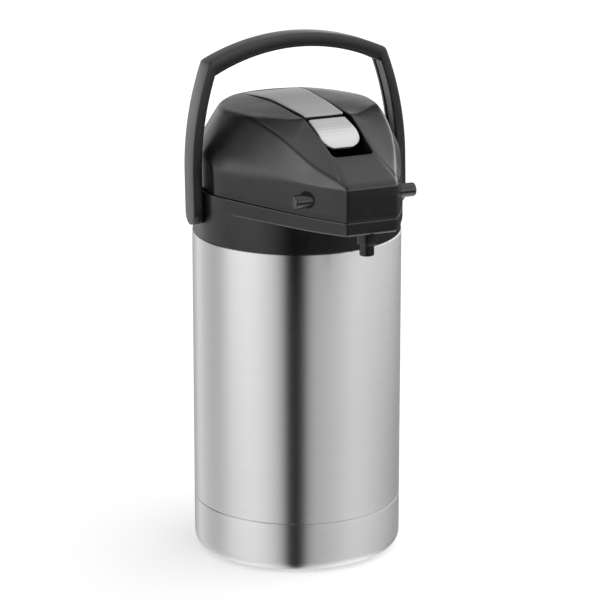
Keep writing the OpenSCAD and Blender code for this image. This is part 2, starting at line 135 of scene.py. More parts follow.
def rounded(points, radii, steps=5):
    """The closed polyline with each corner replaced by an arc-like curve that starts radius away from it."""
    out = []
    n = len(points)
    for i, p in enumerate(points):
        r = radii[i] if isinstance(radii, (list, tuple)) else radii
        if r <= 0:
            out.append(p)
            continue
        a, b = points[i - 1], points[(i + 1) % n]
        ra = min(r, 0.48 * (a - p).length)
        rb = min(r, 0.48 * (b - p).length)
        start = p + (a - p).normalized() * ra
        end = p + (b - p).normalized() * rb
        out += [bezier(start, p, end, k / steps) for k in range(steps + 1)]
    return out


def mesh_object(name, points, faces, angle=35):
    """A smooth-shaded mesh object from points in millimetres; edges sharper than angle stay sharp."""
    mesh = bpy.data.meshes.new(name)
    mesh.from_pydata([tuple(Vector(p) * MM) for p in points], [], faces)
    bm = bmesh.new()
    bm.from_mesh(mesh)
    bmesh.ops.remove_doubles(bm, verts=bm.verts, dist=2e-6)
    bmesh.ops.dissolve_degenerate(bm, dist=1e-6, edges=bm.edges)
    bmesh.ops.recalc_face_normals(bm, faces=bm.faces)
    for edge in bm.edges:
        if len(edge.link_faces) == 2:
            edge.smooth = edge.calc_face_angle(0) < math.radians(angle)
    for face in bm.faces:
        face.smooth = True
    bm.to_mesh(mesh)
    bm.free()
    obj = bpy.data.objects.new(name, mesh)
    bpy.context.scene.collection.objects.link(obj)
    return obj


def grid_faces(rows, columns, wrap_rows=False):
    """Faces between rows of points that each close on themselves."""
    faces = []
    for i in range(rows if wrap_rows else rows - 1):
        for j in range(columns):
            k, m = (i + 1) % rows, (j + 1) % columns
            faces.append((i * columns + j, i * columns + m, k * columns + m, k * columns + j))
    return faces


def loft(name, rings, ends="cap", angle=35):
    """Skin over rings of equal length. ends: "cap" closes the first and last, "join" joins them."""
    count = len(rings[0])
    faces = grid_faces(len(rings), count, wrap_rows=ends == "join")
    if ends == "cap":
        faces.append(tuple(range(count)))
        faces.append(tuple((len(rings) - 1) * count + j for j in range(count)))
    return mesh_object(name, [p for ring in rings for p in ring], faces, angle)


def lathe(name, profile, centre=(0, 0, 0), axis="Z", segments=128, angle=35):
    """Solid of revolution of a closed (radius, height) outline about an axis through centre."""
    rings = []
    for r, h in profile:
        ring = []
        for k in range(segments):
            a = 2 * math.pi * k / segments
            c, s = r * math.cos(a), r * math.sin(a)
            offset = {"Z": (c, s, h), "X": (h, c, s)}[axis]
            ring.append(Vector(centre) + Vector(offset))
        rings.append(ring)
    return loft(name, rings, "join", angle)


def outline(corners, radii, steps=5):
    """Closed (radius, height) outline with rounded corners."""
    return [(p.x, p.y) for p in rounded([Vector(c) for c in corners], radii, steps)]


def mirrored(half):
    """Closed ring from its +X half, which runs from the front centre to the back centre."""
    return half + [Vector((-p.x, p.y, p.z)) for p in half[-2:0:-1]]


def extrude_x(name, side_view, x0, x1, bevel=0.5):
    """A plate with the given (y, z) outline between x0 and x1, its edges bevelled."""
    rings = [[Vector((x, y, z)) for y, z in side_view] for x in (x0, x1)]
    obj = loft(name, rings, "cap", angle=25)
    add_bevel(obj, bevel)
    return obj


def add_bevel(obj, width):
    bevel = obj.modifiers.new("bevel", "BEVEL")
    bevel.width = width * MM
    bevel.segments = 3
    bevel.limit_method = "ANGLE"
    bevel.angle_limit = math.radians(40)
    obj.modifiers.new("normals", "WEIGHTED_NORMAL").keep_sharp = True


def disc_outline(y, z, r, start=0, end=360, steps=32):
    """Points (y, z) along a circle or an arc, between two angles in degrees."""
    points = []
    for k in range(steps + (0 if end - start == 360 else 1)):
        a = math.radians(lerp(start, end, k / steps))
        points.append((y + r * math.cos(a), z + r * math.sin(a)))
    return points


# ---- materials ----


def new_material(name, colour, roughness, metallic=0.0, specular=0.5):
    material = bpy.data.materials.new(name)
    material.use_nodes = True
    shader = material.node_tree.nodes["Principled BSDF"]
    shader.inputs["Base Color"].default_value = (*colour, 1)
    shader.inputs["Roughness"].default_value = roughness
    shader.inputs["Metallic"].default_value = metallic
    shader.inputs["Specular IOR Level"].default_value = specular
    return material, shader


def stretched_noise(material, scale, detail=4.0, stretch=(1, 1, 1)):
    """Noise in the object's own coordinates (metres), stretched per axis."""
    nodes, links = material.node_tree.nodes, material.node_tree.links
    coordinates = nodes.new("ShaderNodeTexCoord")
    mapping = nodes.new("ShaderNodeMapping")
    mapping.inputs["Scale"].default_value = stretch
    noise = nodes.new("ShaderNodeTexNoise")
    noise.inputs["Scale"].default_value = scale
    noise.inputs["Detail"].default_value = detail
    links.new(coordinates.outputs["Object"], mapping.inputs["Vector"])
    links.new(mapping.outputs["Vector"], noise.inputs["Vector"])
    return noise


def vary(material, shader, socket, noise, low, high):
    """Drives a number socket between low and high by a noise."""
    nodes, links = material.node_tree.nodes, material.node_tree.links
    ranged = nodes.new("ShaderNodeMapRange")
    ranged.inputs["From Min"].default_value = 0.3
    ranged.inputs["From Max"].default_value = 0.7
    ranged.inputs["To Min"].default_value = low
    ranged.inputs["To Max"].default_value = high
    links.new(noise.outputs["Fac"], ranged.inputs["Value"])
    links.new(ranged.outputs["Result"], shader.inputs[socket])


def tint(material, shader, noise, dark, light):
    """Varies the base colour between two colours by a noise."""
    nodes, links = material.node_tree.nodes, material.node_tree.links
    ramp = nodes.new("ShaderNodeValToRGB")
    ramp.color_ramp.elements[0].position = 0.3
    ramp.color_ramp.elements[0].color = (*dark, 1)
    ramp.color_ramp.elements[1].position = 0.7
    ramp.color_ramp.elements[1].color = (*light, 1)
    links.new(noise.outputs["Fac"], ramp.inputs["Fac"])
    links.new(ramp.outputs["Color"], shader.inputs["Base Color"])


def relief(material, shader, noise, depth):
    """Bump of the given depth in millimetres."""
    nodes, links = material.node_tree.nodes, material.node_tree.links
    bump = nodes.new("ShaderNodeBump")
    bump.inputs["Strength"].default_value = 1.0
    bump.inputs["Distance"].default_value = depth * MM
    links.new(noise.outputs["Fac"], bump.inputs["Height"])
    links.new(bump.outputs["Normal"], shader.inputs["Normal"])


def grey(value):
    return (value, value, value * 1.02)


def moulded_plastic(name, level, roughness, specular=0.5, grain=0.012):
    """Satin moulded plastic: faint cloudiness, uneven gloss and a fine spark-eroded grain."""
    material, shader = new_material(name, grey(level), roughness, specular=specular)
    cloud = stretched_noise(material, 60, detail=3)
    tint(material, shader, cloud, grey(level * 0.85), grey(level * 1.2))
    vary(material, shader, "Roughness", cloud, roughness - 0.025, roughness + 0.03)
    relief(material, shader, stretched_noise(material, 2600, detail=2), grain)
    return material


STEEL_ANISOTROPY = 1.0                   # brush marks spread reflections up and down only


def brushed_steel(name, level, roughness, brush_depth):
    """Stainless steel with fine brush marks running round the body."""
    material, shader = new_material(name, (level, level, level * 1.012), roughness, metallic=1.0)
    marks = stretched_noise(material, 1.0, detail=6, stretch=(22, 22, 3600))
    bands = stretched_noise(material, 1.0, detail=4, stretch=(3, 3, 420))
    tint(material, shader, bands, (level * 0.985,) * 3, (level * 1.015,) * 3)
    vary(material, shader, "Roughness", marks, roughness - 0.03, roughness + 0.03)
    relief(material, shader, marks, brush_depth)
    shader.inputs["Anisotropic"].default_value = STEEL_ANISOTROPY
    shader.inputs["Anisotropic Rotation"].default_value = 0.25
    tangent = material.node_tree.nodes.new("ShaderNodeTangent")
    tangent.direction_type = "RADIAL"
    tangent.axis = "Z"
    material.node_tree.links.new(tangent.outputs["Tangent"], shader.inputs["Tangent"])
    return material


def soft_material(name, colour, roughness, scale=900, depth=0.02):
    """Rubber or silicone: dull, with a slight bloom."""
    material, shader = new_material(name, colour, roughness)
    noise = stretched_noise(material, scale, detail=3)
    tint(material, shader, noise, tuple(c * 0.85 for c in colour), tuple(min(1, c * 1.15) for c in colour))
    relief(material, shader, noise, depth)
    return material


def turned_metal(name, level, roughness):
    """Plain turned or drawn metal: fine marks along the part."""
    material, shader = new_material(name, (level, level, level * 1.01), roughness, metallic=1.0)
    noise = stretched_noise(material, 1.0, detail=3, stretch=(3000, 200, 200))
    vary(material, shader, "Roughness", noise, roughness - 0.05, roughness + 0.08)
    relief(material, shader, noise, 0.004)
    return material


def bright_chrome(name):
    material, shader = new_material(name, (0.68, 0.68, 0.69), 0.4, metallic=0.55)
    noise = stretched_noise(material, 300, detail=3)
    vary(material, shader, "Roughness", noise, 0.37, 0.44)
    return material


def painted_lever(name):
    """Satin grey paint with a very fine metallic fleck."""
    material, shader = new_material(name, grey(0.46), 0.42, metallic=0.2)
    noise = stretched_noise(material, 1800, detail=2)
    tint(material, shader, noise, grey(0.44), grey(0.49))
    relief(material, shader, noise, 0.006)
    return material


materials = {
    "body_steel": brushed_steel("brushed_body_steel", 0.66, 0.32, 0.002),
    "flask_steel": brushed_steel("satin_flask_steel", 0.6, 0.4, 0.004),
    "black_moulding": moulded_plastic("black_satin_moulding", 0.004, 0.27, specular=0.7),
    "dark_moulding": moulded_plastic("dark_matte_moulding", 0.005, 0.34),
    # the well's own deep black, also used for the painted shade round the release pins
    "well_black": moulded_plastic("deep_black_well_and_bore_shade", 0.003, 0.5, specular=0.2),
    "lever_grey": painted_lever("grey_lever_paint"),
    "lever_chrome": bright_chrome("ribbed_chrome"),
    "base_rubber": soft_material("base_rubber", (0.02, 0.02, 0.02), 0.8),
    "bellows_rubber": soft_material("bellows_rubber", (0.025, 0.025, 0.025), 0.7),
    "clear_silicone": soft_material("white_silicone", (0.7, 0.7, 0.66), 0.5),
    "red_silicone": soft_material("red_silicone", (0.5, 0.1, 0.06), 0.5),
    "natural_plastic": soft_material("natural_plastic", (0.75, 0.75, 0.72), 0.4, depth=0.006),
    "spring_steel": turned_metal("spring_wire", 0.55, 0.3),
    "pin_steel": turned_metal("turned_pin_steel", 0.6, 0.28),
}


def finish_piece(obj, slot_name, body, *nodes):
    """Gives a piece its material and its body, and hides the CAD nodes that it stands for."""
    obj.data.materials.clear()
    obj.data.materials.append(materials[slot_name])
    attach(obj, body)
    if nodes:
        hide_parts(*nodes)
    return obj


for part in frame["record"]["subparts"]:
    node_object = frame["nodes"][part["node"]]
    node_object.data.materials.clear()
    node_object.data.materials.append(materials[part["material_slot"]])


# ---- steel body ----

SHEET = 0.9                              # thickness of the steel


def build_body():
    # base cup: rolled foot, and a crisp edge at the seam with the shell
    r, z0 = BODY_R, cup_low.z
    pad_r = 65.4
    edge_z, inner_r, inner_z = SEAM_Z - 0.45, r - SHEET, z0 + SHEET
    cup = outline(
        [(pad_r, z0), (r, z0), (r, edge_z), (inner_r, edge_z), (inner_r, inner_z), (pad_r, inner_z)],
        [0.4, 9, 0.35, 0.1, 8.1, 0.2],
        steps=12,
    )
    finish_piece(lathe("body_base_cup", cup), "body_steel", "body", "base_cup")
    floor = outline(
        [
            (0.4, 2.6), (pad_r + 0.5, 2.6), (pad_r + 0.5, z0 + 0.1), (pad_r + SHEET, z0 + 0.1),
            (pad_r + SHEET, 3.5), (0.4, 3.5),
        ],
        [0, 0.4, 0.1, 0.1, 0.5, 0],
    )
    finish_piece(lathe("body_base_floor", floor), "body_steel", "body")
    lip = outline([(r - 1.8, 36), (r - SHEET - 0.02, 36), (r - SHEET - 0.02, 46), (r - 1.8, 46)], 0.1)
    finish_piece(lathe("body_seam_lip", lip), "body_steel", "body")
    # outer shell: straight wall, tight shoulder under the collar, cone up to the neck
    shell = outline(
        [
            (r - SHEET, SEAM_Z + 0.05), (r, SEAM_Z + 0.05), (r, BODY_TOP), (r - 5, BODY_TOP),
            (NECK_R + 5, NECK_Z - 6), (NECK_R, NECK_Z - 3), (NECK_R, NECK_Z), (NECK_R - SHEET, NECK_Z),
            (NECK_R - SHEET, NECK_Z - 3.5), (NECK_R + 4.4, NECK_Z - 6.9), (r - 5.3, BODY_TOP - SHEET),
            (r - SHEET, BODY_TOP - SHEET),
        ],
        [0.1, 0.35, 0.9, 2, 1.5, 1, 0.2, 0.2, 1, 1, 1, 0.6],
    )
    finish_piece(lathe("body_outer_shell", shell), "body_steel", "body", "outer_shell")
    foot = outline([(0.4, 0), (65, 0), (65, 2.5), (0.4, 2.5)], [0, 0.8, 0.5, 0])
    finish_piece(lathe("body_foot_pad", foot), "base_rubber", "body", "foot_pad")


# ---- plan of the collar and the lid ----

# points of the half plan along its flat front, its corner, its curve, its flank and its back
FRONT_COUNT = 6
CORNER_COUNT = 6
CURVE_STEPS = 14
FLANK_STEPS = 26
ARC_STEPS = 44
ARC_START = FRONT_COUNT + CORNER_COUNT + CURVE_STEPS - 1 + FLANK_STEPS


def half_plan(radius, inset=0.0):
    """+X half of the plan: front centre, nose corner, curved then straight flank, round back."""
    r = radius - inset
    front_y = NOSE_Y + inset
    half = NOSE_HALF - 0.8 * inset
    start = Vector((r * math.cos(FLANK_ANGLE), -r * math.sin(FLANK_ANGLE), 0))
    along = Vector((-math.sin(FLANK_ANGLE), -math.cos(FLANK_ANGLE), 0))
    knee = start + along * 69
    guide = knee + along * 23
    corner = Vector((half, front_y, 0))
    out_of_corner = bezier(corner, guide, knee, 0.08)
    middle, flat_end = Vector((0, front_y, 0)), Vector((half - 1.2, front_y, 0))
    front_part = [flat_end * (k / FRONT_COUNT) + middle * (1 - k / FRONT_COUNT) for k in range(FRONT_COUNT)]
    turns = [k / (CORNER_COUNT - 1) for k in range(CORNER_COUNT)]
    corner_part = [bezier(flat_end, corner, out_of_corner, t) for t in turns]
    curve_part = [bezier(corner, guide, knee, lerp(0.08, 1, k / CURVE_STEPS)) for k in range(1, CURVE_STEPS)]
    flank_part = [knee.lerp(start, k / FLANK_STEPS) for k in range(FLANK_STEPS)]
    arc_part = []
    for k in range(ARC_STEPS + 1):
        a = lerp(-FLANK_ANGLE, math.pi / 2, k / ARC_STEPS)
        arc_part.append(Vector((r * math.cos(a), r * math.sin(a), 0)))
    return front_part + corner_part + curve_part + flank_part + arc_part


def underside_z(y):
    """Underside of the nose, which rises gently towards the front."""
    return COLLAR_TOP - 12.8 + max(0.0, -43 - y) * math.tan(math.radians(1.5))


def nose_top_z(y):
    """Upper edge of the nose: its gap to the lid narrows to a hairline at the front."""
    return COLLAR_TOP - 0.25 + 0.5 * smooth_step(-50, -128, y)


def nose_ring(inset, height, lift=0.0):
    """Closed outline of the nose at a height; its back runs inside the collar's wall."""
    side = half_plan(COLLAR_R, inset)[: ARC_START + 1]
    back = []
    for k in range(1, 16):
        a = lerp(-FLANK_ANGLE, -math.pi + FLANK_ANGLE, k / 16)
        back.append(Vector(((COLLAR_R - 1.2) * math.cos(a), (COLLAR_R - 1.2) * math.sin(a), 0)))
    points = [Vector((-p.x, p.y, 0)) for p in side[:0:-1]] + side + back
    for p in points:
        p.z = height(p.y) + lift
    return points


def build_collar():
    wall = 2.5
    inner_r, top = COLLAR_R - wall, COLLAR_TOP - 0.25
    ring = outline(
        [(inner_r, collar_low.z), (COLLAR_R, collar_low.z), (COLLAR_R, top), (inner_r, top)],
        [0.3, 0.5, 0.3, 0.3],
    )
    finish_piece(lathe("collar_ring", ring, segments=192), "black_moulding", "body", "collar")
    soft = 0.25
    # (inset, lift) of its rings: round the upper edge, then down the chamfered lower edge
    at_top = [(wall, -soft), (wall - soft, 0), (soft, 0), (0.3 * soft, -0.12), (0, -soft), (0, -soft - 0.8)]
    at_foot = [(0, 2.2), (0, 1.6), (0.12, 1.25), (0.55, 0.3), (0.9, 0.06), (1.5, 0), (2.2, 0)]
    rings = [nose_ring(wall, underside_z, wall)]
    rings += [nose_ring(inset, nose_top_z, lift) for inset, lift in at_top]
    rings += [nose_ring(inset, underside_z, lift) for inset, lift in at_foot]
    finish_piece(loft("collar_nose", rings, "cap"), "black_moulding", "body")
    # catch basin between the skirt and the flask's neck
    basin = outline(
        [
            (COLLAR_R - 2.2, 266.5), (COLLAR_R - 2.2, 269.5), (NECK_R + 4.4, NECK_Z - 2),
            (NECK_R + 1.6, NECK_Z - 2), (NECK_R + 1.6, NECK_Z - 3.2), (NECK_R + 4.4, NECK_Z - 4.4),
            (COLLAR_R - 4.5, 265.6),
        ],
        0.6,
    )
    finish_piece(lathe("collar_basin", basin), "black_moulding", "body")


def build_hinge():
    """Knuckles at the back: two on the collar, one on the lid between them."""
    pin = cad_box("lid_hinge_pin")
    y, z, r = (pin[0].y + pin[1].y) / 2, (pin[0].z + pin[1].z) / 2, 5.19
    root = COLLAR_R - 4
    lower = disc_outline(y, z, r, -60, 150)
    lower += [(root, COLLAR_TOP - 0.6), (root, COLLAR_TOP - 10.6), (y - 2, COLLAR_TOP - 8)]
    for side, name in ((-1, "collar_knuckle_left"), (1, "collar_knuckle_right")):
        knuckle = extrude_x(name, lower, side * 23 - 9, side * 23 + 9, 0.7)
        finish_piece(knuckle, "black_moulding", "body")
    upper = disc_outline(y, z, r, -150, 60)
    upper += [(y - 3, LID_Z + 12.2), (root + 1, LID_Z + 12.2), (root + 1, LID_Z + 0.6)]
    finish_piece(extrude_x("lid_knuckle", upper, -13.4, 13.4, 0.7), "black_moulding", "lid")


# ---- lid ----

# ridge between the sloping bonnet and the sides: half width and height at distances along Y
RIDGE_X = [
    (-140, 20.6), (-138, 21.3), (-132, 23.4), (-125, 26.3), (-112, 31.9), (-98, 37.8), (-82, 43.1),
    (-62, 48.2), (-38, 53.4), (-20, 57.6), (0, 61),
]
RIDGE_Z = [
    (-138, 29.2), (-132, 30.8), (-125, 32.8), (-118, 35.1), (-112, 37.3), (-105, 40.3), (-98, 43.7),
    (-90, 47.3), (-82, 50.9), (-72, 54.5), (-62, 57.2), (-50, 59.8), (-38, 61.2), (-20, 61.3),
    (0, 60.3), (25, 59.2),
]
# height of the lid beside the slot, and the slot's half width
TOP_Z = [
    (-138, 29.2), (-123, 35.4), (-107, 42.3), (-92, 48.8), (-80, 54.0), (-68, 58.2), (-55, 60.8),
    (-40, 62.2), (-10, 63.2), (30, 62.0), (54, 60.1),
]
SLOT_X = [
    (-103, 17.0), (-87, 17.7), (-60, 19.2), (-42, 19.6), (-23, 20.2), (7, 21.2), (30, 24.2), (54, 25.6),
]
SLOT_FRONT_HALF = SLOT_X[0][1]
SLOT_FRONT = -106.6
SLOT_BACK = 53.6
SLOT_CORNER = 4.0
REAR_TURN = math.radians(52)             # sections further round meet the slot's back edge
FRONT_BAND_Z = 25.2                      # top of the nose's upright front
FRONT_CREASE = (NOSE_Y + 2.2, 29.1)      # where the rounded front edge meets the bonnet


def side_crease(point, angle):
    """Where the side's slope meets the top, for a point of the plan at a polar angle."""
    if angle is not None:
        y = DOME_R * math.sin(angle)
        if angle > 0:
            return Vector((DOME_R * math.cos(angle), y, LID_Z + spline(RIDGE_Z, y)))
    else:
        travel = (point.y - NOSE_Y) / (COLLAR_R * math.sin(-FLANK_ANGLE) - NOSE_Y)
        y = point.y + 8.7 * max(0.0, travel) ** 1.3 + 2.2 * (1 - smooth_step(NOSE_Y, NOSE_Y + 18, point.y))
    return Vector((spline(RIDGE_X, y), y, LID_Z + spline(RIDGE_Z, y)))


def slot_point(index, point, crease, angle, inset=0.0):
    """The point of the slot's edge that a point of the plan is joined to."""
    front, back = SLOT_FRONT - inset, SLOT_BACK + inset
    corner_x = SLOT_FRONT_HALF - SLOT_CORNER
    if index < FRONT_COUNT:
        return Vector((corner_x * index / FRONT_COUNT, front, 0))
    if index < FRONT_COUNT + CORNER_COUNT:
        a = math.pi / 2 * (index - FRONT_COUNT) / (CORNER_COUNT - 1)
        radius = SLOT_CORNER + inset
        return Vector((corner_x + radius * math.sin(a), SLOT_FRONT + SLOT_CORNER - radius * math.cos(a), 0))
    if angle is not None and angle > REAR_TURN:
        t = (angle - REAR_TURN) / (math.pi / 2 - REAR_TURN)
        half = (spline(SLOT_X, SLOT_BACK) + inset) * (1 - t)
        return Vector((half, back - 2.0 * smooth_step(0.25, 0, t), 0))
    first, last = NOSE_Y, DOME_R * math.sin(REAR_TURN)
    t = (crease.y - first) / (last - first)
    y = lerp(SLOT_FRONT + SLOT_CORNER + 0.5, SLOT_BACK - 2.0, t)
    return Vector((spline(SLOT_X, y) + inset, y, 0))


def lid_section(index, point, inner=False):
    """One section of the lid's shell, from its lower edge up over the crease to the slot's edge."""
    wall = 2.5 if inner else 0.0
    angle = None
    if index >= ARC_START:
        angle = lerp(-FLANK_ANGLE, math.pi / 2, (index - ARC_START) / ARC_STEPS)
    crease = side_crease(point, angle)
    near_nose = 1 - smooth_step(NOSE_Y, NOSE_Y + 14, point.y)
    if index < FRONT_COUNT + CORNER_COUNT:
        crease = Vector((point.x * 0.985, point.y + FRONT_CREASE[0] - NOSE_Y, LID_Z + FRONT_CREASE[1]))
    outward = Vector((point.x, point.y + 30, 0)).normalized()
    low = Vector((point.x, point.y, LID_Z))
    lean = 0.7 + 0.9 * smooth_step(-60, -120, point.y)
    band_z = LID_Z + lerp(BAND_HEIGHT, FRONT_BAND_Z, near_nose)
    top_of_band = Vector((point.x, point.y, band_z)) - outward * lean * (1 - near_nose)
    edge = slot_point(index, point, crease, angle)
    edge.z = LID_Z + spline(TOP_Z, edge.y)
    if inner:
        low -= outward * wall
        top_of_band -= outward * wall + Vector((0, 0, 1.5))
        crease = crease - outward * wall * 0.9 - Vector((0, 0, 2.4))
        edge = slot_point(index, point, crease, angle, 1.8)
        edge.z = LID_Z + spline(TOP_Z, edge.y) - wall

    crown = lerp(1.7, 1.1, smooth_step(-45, -95, crease.y))

    def top_at(t):
        p = crease.lerp(edge, t)
        p.z = crease.z + (edge.z - crease.z) * (1 - (1 - t) ** crown) + dome_rim(p) * (1 - (1 - t) ** 4)
        return p

    edge.z += dome_rim(edge)
    return low, top_of_band, crease, edge, top_at


def dome_rim(p):
    """Slight crest along the front edge of the dome, where the bonnet starts."""
    away = abs(math.hypot(p.x, p.y) - DOME_R) / 16
    return 1.1 * max(0.0, 1 - away) ** 1.6 * smooth_step(-20, -40, p.y)


def rim_crossing(top_at):
    """Share of the way over the lid's top at which a section crosses the dome's front edge."""
    low, high = 0.0, 1.0
    for _ in range(20):
        middle = (low + high) / 2
        if top_at(middle).xy.length > DOME_R:
            low = middle
        else:
            high = middle
    return min(0.9, max(0.3, low))


def corner_curve(before, corner, after, radius):
    start = corner + (before - corner).normalized() * min(radius, 0.45 * (before - corner).length)
    end = corner + (after - corner).normalized() * min(radius, 0.45 * (after - corner).length)
    return [bezier(start, corner, end, k / 6) for k in range(7)]


def clamp_flat(p):
    """Flats on both sides, which clear the handle's arms."""
    return Vector((max(-LID_FLAT_X, min(LID_FLAT_X, p.x)), p.y, p.z))


def lid_outer(index, point):
    low, band, crease, edge, top_at = lid_section(index, point)
    band_soft = lerp(0.9, 13, smooth_step(NOSE_Y + 25, -10, point.y))
    crease_soft = lerp(2.9, 3.5, smooth_step(NOSE_Y + 40, -35, point.y))
    if index < FRONT_COUNT + CORNER_COUNT:
        crease_soft = 2.4
    start = min(0.3, crease_soft / (edge - crease).length)
    at_band = corner_curve(low.lerp(band, 0.4), band, crease, band_soft)
    foot = crease + (band - crease).normalized() * min(crease_soft, 0.45 * (band - crease).length)
    at_crease = [bezier(foot, crease, top_at(start), k / 8) for k in range(9)]
    line = [low + Vector((0, 0, 0.5)), low.lerp(band, 0.2), low.lerp(band, 0.4)] + at_band
    line += [at_band[-1].lerp(at_crease[0], t) for t in (0.25, 0.5, 0.75)] + at_crease
    crossing = rim_crossing(top_at)
    line += [top_at(lerp(start, crossing, k / 9)) for k in range(1, 10)]
    line += [top_at(lerp(crossing, 1, k / 9)) for k in range(1, 9)]
    last = (edge - top_at(0.97)).normalized()
    soft = 0.8
    rim = [bezier(edge - last * soft, edge, edge - Vector((0, 0, soft)), k / 4) for k in range(5)]
    return line + rim


def lid_inner(index, point):
    """From the foot of the slot's wall back to the lower edge."""
    outer = lid_section(index, point)
    outer_low, outer_edge = outer[0], outer[3]
    low, band, crease, edge, top_at = lid_section(index, point, inner=True)
    foot = outer_edge + Vector((0, 0, -7))
    line = [foot, Vector((edge.x, edge.y, foot.z)), edge]
    line += [top_at(t) for t in (0.75, 0.5, 0.25)] + [crease, band, low + Vector((0, 0, 0.3))]
    foot_edge = [low.lerp(outer_low, 0.1), low.lerp(outer_low, 0.8)]
    return line + foot_edge + [low.lerp(outer_low, 0.96) + Vector((0, 0, 0.13))]


def build_lid():
    plan = half_plan(COLLAR_R)
    sections = [lid_outer(i, p) + lid_inner(i, p) for i, p in enumerate(plan)]
    rings = [mirrored([clamp_flat(section[k]) for section in sections]) for k in range(len(sections[0]))]
    finish_piece(loft("lid_cover", rings, "join", angle=40), "black_moulding", "lid", "lid_shell")


def slot_loop(inset):
    """Closed loop just inside the edge of the slot's front part, at the lid's height."""
    half = []
    for k in range(9):
        half.append(Vector(((SLOT_FRONT_HALF - SLOT_CORNER) * k / 9, SLOT_FRONT + inset, 0)))
    for k in range(7):
        a = math.pi / 2 * k / 6
        r = max(0.3, SLOT_CORNER - inset)
        x = SLOT_FRONT_HALF - inset - r + r * math.sin(a)
        half.append(Vector((x, SLOT_FRONT + inset + r - r * math.cos(a), 0)))
    for k in range(1, 31):
        y = lerp(SLOT_FRONT + SLOT_CORNER + 0.5, WELL_BACK, k / 30)
        half.append(Vector((spline(SLOT_X, y) - inset, y, 0)))
    for k in range(1, 9):
        half.append(Vector(((spline(SLOT_X, WELL_BACK) - inset) * (1 - k / 8), WELL_BACK, 0)))
    for p in half:
        p.z = LID_Z + spline(TOP_Z, p.y)
    return mirrored(half)


WELL_BACK = -57.5
WELL_BACK_TOP = 23.5                     # low, so that the pressed lever passes over it
WELL_FLOOR = 6.1


def well_ring(inset, depth, front_y):
    """The well's wall at a depth: 0 is just under the lid's surface, 1 is the floor."""
    ring = []
    for p in slot_loop(inset):
        t = (p.y - SLOT_FRONT) / (WELL_BACK - SLOT_FRONT)
        low = Vector((p.x, lerp(front_y, WELL_BACK + inset * 0.5, t), LID_Z + WELL_FLOOR - inset * 0.5))
        at_back = p.y > WELL_BACK - 0.5
        high = Vector((p.x, p.y, LID_Z + WELL_BACK_TOP if at_back else p.z - 0.9))
        ring.append(high.lerp(low, depth))
    return ring


def build_well():
    """Black well under the lever's tip; its back wall is low, for the lever."""
    inner = [well_ring(0.35, t / 10, -89.5) for t in range(11)]
    outer = [well_ring(-0.9, t / 10, -90.5) for t in range(11)]
    floor = [[Vector((p.x * k, lerp(-74, p.y, k), p.z)) for p in inner[-1]] for k in (0.6, 0.2)]
    under = [[Vector((p.x * k, lerp(-74, p.y, k), p.z - 1)) for p in outer[-1]] for k in (0.2, 0.6)]
    rings = floor[::-1] + inner[::-1] + outer + under[::-1]
    well = loft("finger_well_cup", rings, "cap")
    finish_piece(well, "well_black", "lid", "finger_well")


# ---- lever ----

# upper line of the lever above the lid's edge, and its half width
LEVER_TOP = [
    (-57, 61.8), (-53.5, 62.8), (-45, 63.6), (-30, 64.3), (-10, 64.8), (10, 64.7), (30, 63.4),
    (45, 61.6), (53, 60.2),
]
LEVER_X = [
    (-57, 15.9), (-42, 16.4), (-23, 17.7), (7, 19.0), (30, 22.3), (53, 24.4),
]
LEVER_FRONT = -51.8                      # front edge of the grey plate


def lever_ring(y, inset=0.0, drop=0.0, top_depth=0.0, depth=1.4):
    """Section of the lever's arm across X, with light chamfers along its upper edges."""
    half = spline(LEVER_X, y) - inset
    top = LID_Z + spline(LEVER_TOP, y) - drop - top_depth
    right = [
        (0, 0), (half * 0.35, -0.02), (half * 0.7, -0.1), (half - 1.6, -0.22), (half - 0.7, -0.34),
        (half - 0.45, -0.48),
        (half - 0.1, -0.85), (half, -1.0), (half, -depth + 0.15), (half - 0.15, -depth),
        (half * 0.5, -depth),
    ]
    return [Vector((x, y, top + z)) for x, z in right] + [Vector((-x, y, top + z)) for x, z in right[:0:-1]]


def build_lever():
    stations = [(LEVER_FRONT, 0.5, 0.35), (LEVER_FRONT + 0.1, 0.2, 0.12), (LEVER_FRONT + 0.4, 0, 0)]
    stations += [(lerp(LEVER_FRONT + 1.2, 51.5, k / 44), 0, 0) for k in range(45)]
    stations += [(52.4, 0.1, 0.15), (52.8, 0.7, 0.6)]
    plate = loft("lever_plate", [lever_ring(*s) for s in stations], "cap", angle=28)
    finish_piece(plate, "lever_grey", "lever", "lever_arm")
    # the black arm under the grey plate
    core = [lever_ring(lerp(LEVER_FRONT + 0.8, 52, k / 40), 0.35, 0, 1.42, 3.8) for k in range(41)]
    finish_piece(loft("lever_core", core, "cap"), "dark_moulding", "lever")
    # rounded rib that pushes the pump, and the lugs of the hinge
    pivot = (cad_box("lever_pin")[0] + cad_box("lever_pin")[1]) / 2
    low = cad_box("lever_arm")[0].z
    rib_view = disc_outline(0, low + 4, 4, -180, 0, 16) + [(3.6, LID_Z + 60.5), (-3.6, LID_Z + 60.5)]
    finish_piece(extrude_x("lever_rib", rib_view, -7, 7, 0.6), "dark_moulding", "lever")
    lug_view = disc_outline(pivot.y, pivot.z, 4.4, 180, 360, 16)
    lug_view += [(pivot.y - 1.4, LID_Z + 59), (pivot.y - 4.4, LID_Z + 59)]
    for side, name in ((-1, "lever_lug_left"), (1, "lever_lug_right")):
        lug = extrude_x(name, lug_view, side * 17 - 2.5, side * 17 + 2.5, 0.5)
        finish_piece(lug, "dark_moulding", "lever")


